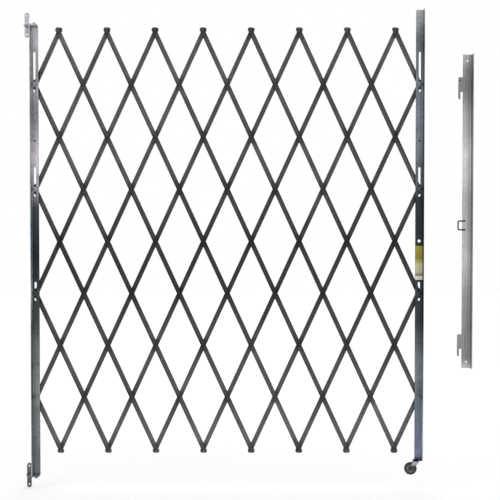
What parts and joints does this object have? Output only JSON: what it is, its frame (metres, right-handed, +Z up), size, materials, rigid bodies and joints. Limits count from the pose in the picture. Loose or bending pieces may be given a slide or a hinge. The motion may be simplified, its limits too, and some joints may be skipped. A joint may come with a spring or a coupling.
{
  "type": "folding lattice gate",
  "caption": "Expanding scissor gate: riveted channel lattice between two angle posts, hinged in wall brackets, with a caster and a strike angle.",
  "frame": {"origin": "middle of the lower wall bracket's back face, which lies on the wall", "axes": "+X along the doorway toward the strike angle, +Y into the wall, +Z up"},
  "size_m": [1.8236, 0.0629, 1.9498],
  "materials": {
    "zinc_bar": "galvanised",
    "zinc_post": "galvanised",
    "zinc_bracket": "galvanised",
    "zinc_strike": "galvanised",
    "caster_steel": "zinc plated",
    "wheel_steel": "pressed steel",
    "tyre_rubber": "hard rubber"
  },
  "bodies": {
    "wall_set": {"lower_wall_bracket": "zinc_bracket", "upper_wall_bracket": "zinc_bracket", "strike_angle": "zinc_strike", "upper_hook": "zinc_strike", "padlock_staple": "zinc_strike", "lower_hook": "zinc_strike"},
    "hinge_post": {"hinge_post": "zinc_post", "lower_pivot_plate": "zinc_post", "upper_pivot_plate": "zinc_post"},
    "lead_post": {"lead_post": "zinc_post", "caster_plate": "caster_steel"},
    "caster_fork": {"caster_fork": "caster_steel", "caster_axle": "caster_steel"},
    "caster_wheel": {"wheel_hub": "wheel_steel", "tyre": "tyre_rubber"},
    "front_bar_01": {"front_bar_01": "zinc_bar"},
    "back_bar_01": {"back_bar_01": "zinc_bar"},
    "front_bar_02": {"front_bar_02": "zinc_bar"},
    "back_bar_02": {"back_bar_02": "zinc_bar"},
    "front_bar_03": {"front_bar_03": "zinc_bar"},
    "back_bar_03": {"back_bar_03": "zinc_bar"},
    "front_bar_04": {"front_bar_04": "zinc_bar"},
    "back_bar_04": {"back_bar_04": "zinc_bar"},
    "front_bar_05": {"front_bar_05": "zinc_bar"},
    "back_bar_05": {"back_bar_05": "zinc_bar"},
    "front_bar_06": {"front_bar_06": "zinc_bar"},
    "back_bar_06": {"back_bar_06": "zinc_bar"},
    "front_bar_07": {"front_bar_07": "zinc_bar"},
    "back_bar_07": {"back_bar_07": "zinc_bar"},
    "front_bar_08": {"front_bar_08": "zinc_bar"},
    "back_bar_08": {"back_bar_08": "zinc_bar"},
    "front_bar_09": {"front_bar_09": "zinc_bar"},
    "back_bar_09": {"back_bar_09": "zinc_bar"},
    "front_bar_10": {"front_bar_10": "zinc_bar"},
    "back_bar_10": {"back_bar_10": "zinc_bar"},
    "front_bar_11": {"front_bar_11": "zinc_bar"},
    "back_bar_11": {"back_bar_11": "zinc_bar"},
    "front_bar_12": {"front_bar_12": "zinc_bar"},
    "back_bar_12": {"back_bar_12": "zinc_bar"}
  },
  "joints": [
    {"name": "swing", "type": "hinge", "parent": "wall_set", "child": "hinge_post", "pos_m": [0.0371, -0.04707, 0], "axis": [0, 0, -1], "range_deg": [0, 180]},
    {"name": "fold", "type": "hinge", "parent": "hinge_post", "child": "back_bar_04", "pos_m": [0.0355, -0.01965, 0.3265], "axis": [0, -1, 0], "range_deg": [-2.3, 21.7]},
    {"name": "rivet_front_bar_01", "type": "hinge", "parent": "back_bar_04", "child": "front_bar_01", "pos_m": [0.0355, -0.01965, 0.3265], "axis": [0, -1, 0], "range_deg": [-43.8, 5]},
    {"name": "rivet_front_bar_02", "type": "hinge", "parent": "back_bar_04", "child": "front_bar_02", "pos_m": [0.13303, -0.01965, 0.53855], "axis": [0, -1, 0], "range_deg": [-43.8, 5]},
    {"name": "rivet_front_bar_03", "type": "hinge", "parent": "back_bar_04", "child": "front_bar_03", "pos_m": [0.23056, -0.01965, 0.75059], "axis": [0, -1, 0], "range_deg": [-43.8, 5]},
    {"name": "rivet_front_bar_04", "type": "hinge", "parent": "back_bar_04", "child": "front_bar_04", "pos_m": [0.32809, -0.01965, 0.96264], "axis": [0, -1, 0], "range_deg": [-43.8, 5]},
    {"name": "rivet_front_bar_05", "type": "hinge", "parent": "back_bar_04", "child": "front_bar_05", "pos_m": [0.42562, -0.01965, 1.17468], "axis": [0, -1, 0], "range_deg": [-43.8, 5]},
    {"name": "rivet_front_bar_06", "type": "hinge", "parent": "back_bar_04", "child": "front_bar_06", "pos_m": [0.52315, -0.01965, 1.38673], "axis": [0, -1, 0], "range_deg": [-43.8, 5]},
    {"name": "rivet_front_bar_07", "type": "hinge", "parent": "back_bar_04", "child": "front_bar_07", "pos_m": [0.62068, -0.01965, 1.59877], "axis": [0, -1, 0], "range_deg": [-43.8, 5]},
    {"name": "rivet_front_bar_08", "type": "hinge", "parent": "back_bar_04", "child": "front_bar_08", "pos_m": [0.71821, -0.01965, 1.81082], "axis": [0, -1, 0], "range_deg": [-43.8, 5]},
    {"name": "rivet_back_bar_01", "type": "hinge", "parent": "front_bar_05", "child": "back_bar_01", "pos_m": [0.13303, -0.01965, 1.81082], "axis": [0, -1, 0], "range_deg": [-5, 43.8]},
    {"name": "rivet_back_bar_02", "type": "hinge", "parent": "front_bar_05", "child": "back_bar_02", "pos_m": [0.23056, -0.01965, 1.59877], "axis": [0, -1, 0], "range_deg": [-5, 43.8]},
    {"name": "rivet_back_bar_03", "type": "hinge", "parent": "front_bar_05", "child": "back_bar_03", "pos_m": [0.32809, -0.01965, 1.38673], "axis": [0, -1, 0], "range_deg": [-5, 43.8]},
    {"name": "rivet_back_bar_05", "type": "hinge", "parent": "front_bar_05", "child": "back_bar_05", "pos_m": [0.52315, -0.01965, 0.96264], "axis": [0, -1, 0], "range_deg": [-5, 43.8]},
    {"name": "rivet_back_bar_06", "type": "hinge", "parent": "front_bar_05", "child": "back_bar_06", "pos_m": [0.62068, -0.01965, 0.75059], "axis": [0, -1, 0], "range_deg": [-5, 43.8]},
    {"name": "rivet_back_bar_07", "type": "hinge", "parent": "front_bar_05", "child": "back_bar_07", "pos_m": [0.71821, -0.01965, 0.53855], "axis": [0, -1, 0], "range_deg": [-5, 43.8]},
    {"name": "rivet_back_bar_08", "type": "hinge", "parent": "front_bar_05", "child": "back_bar_08", "pos_m": [0.81574, -0.01965, 0.3265], "axis": [0, -1, 0], "range_deg": [-5, 43.8]},
    {"name": "rivet_back_bar_09", "type": "hinge", "parent": "front_bar_05", "child": "back_bar_09", "pos_m": [0.91327, -0.01965, 0.11445], "axis": [0, -1, 0], "range_deg": [-5, 43.8]},
    {"name": "rivet_back_bar_10", "type": "hinge", "parent": "front_bar_08", "child": "back_bar_10", "pos_m": [1.30339, -0.01965, 0.53855], "axis": [0, -1, 0], "range_deg": [-5, 43.8]},
    {"name": "rivet_back_bar_11", "type": "hinge", "parent": "front_bar_08", "child": "back_bar_11", "pos_m": [1.40092, -0.01965, 0.3265], "axis": [0, -1, 0], "range_deg": [-5, 43.8]},
    {"name": "rivet_back_bar_12", "type": "hinge", "parent": "front_bar_08", "child": "back_bar_12", "pos_m": [1.49845, -0.01965, 0.11445], "axis": [0, -1, 0], "range_deg": [-5, 43.8]},
    {"name": "rivet_front_bar_09", "type": "hinge", "parent": "back_bar_08", "child": "front_bar_09", "pos_m": [1.20586, -0.01965, 1.17468], "axis": [0, -1, 0], "range_deg": [-43.8, 5]},
    {"name": "rivet_front_bar_10", "type": "hinge", "parent": "back_bar_08", "child": "front_bar_10", "pos_m": [1.30339, -0.01965, 1.38673], "axis": [0, -1, 0], "range_deg": [-43.8, 5]},
    {"name": "rivet_front_bar_11", "type": "hinge", "parent": "back_bar_08", "child": "front_bar_11", "pos_m": [1.40092, -0.01965, 1.59877], "axis": [0, -1, 0], "range_deg": [-43.8, 5]},
    {"name": "rivet_front_bar_12", "type": "hinge", "parent": "back_bar_08", "child": "front_bar_12", "pos_m": [1.49845, -0.01965, 1.81082], "axis": [0, -1, 0], "range_deg": [-43.8, 5]},
    {"name": "lead_post_pivot", "type": "hinge", "parent": "front_bar_09", "child": "lead_post", "pos_m": [1.59598, -0.01965, 0.3265], "axis": [0, -1, 0], "range_deg": [-2.7, 22.1]},
    {"name": "caster_swivel", "type": "hinge", "parent": "lead_post", "child": "caster_fork", "pos_m": [1.58398, -0.04707, 0.07], "axis": [0, 0, 1], "continuous": true},
    {"name": "wheel_spin", "type": "hinge", "parent": "caster_fork", "child": "caster_wheel", "pos_m": [1.56198, -0.04707, 0.0375], "axis": [0, 1, 0], "continuous": true}
  ],
  "couplings": [
    {"joint": "rivet_front_bar_01", "follows": "fold", "ratio": -2},
    {"joint": "rivet_front_bar_02", "follows": "fold", "ratio": -2},
    {"joint": "rivet_front_bar_03", "follows": "fold", "ratio": -2},
    {"joint": "rivet_front_bar_04", "follows": "fold", "ratio": -2},
    {"joint": "rivet_front_bar_05", "follows": "fold", "ratio": -2},
    {"joint": "rivet_front_bar_06", "follows": "fold", "ratio": -2},
    {"joint": "rivet_front_bar_07", "follows": "fold", "ratio": -2},
    {"joint": "rivet_front_bar_08", "follows": "fold", "ratio": -2},
    {"joint": "rivet_back_bar_01", "follows": "fold", "ratio": 2},
    {"joint": "rivet_back_bar_02", "follows": "fold", "ratio": 2},
    {"joint": "rivet_back_bar_03", "follows": "fold", "ratio": 2},
    {"joint": "rivet_back_bar_05", "follows": "fold", "ratio": 2},
    {"joint": "rivet_back_bar_06", "follows": "fold", "ratio": 2},
    {"joint": "rivet_back_bar_07", "follows": "fold", "ratio": 2},
    {"joint": "rivet_back_bar_08", "follows": "fold", "ratio": 2},
    {"joint": "rivet_back_bar_09", "follows": "fold", "ratio": 2},
    {"joint": "rivet_back_bar_10", "follows": "fold", "ratio": 2},
    {"joint": "rivet_back_bar_11", "follows": "fold", "ratio": 2},
    {"joint": "rivet_back_bar_12", "follows": "fold", "ratio": 2},
    {"joint": "rivet_front_bar_09", "follows": "fold", "ratio": -2},
    {"joint": "rivet_front_bar_10", "follows": "fold", "ratio": -2},
    {"joint": "rivet_front_bar_11", "follows": "fold", "ratio": -2},
    {"joint": "rivet_front_bar_12", "follows": "fold", "ratio": -2},
    {"joint": "lead_post_pivot", "follows": "fold", "ratio": 1}
  ]
}
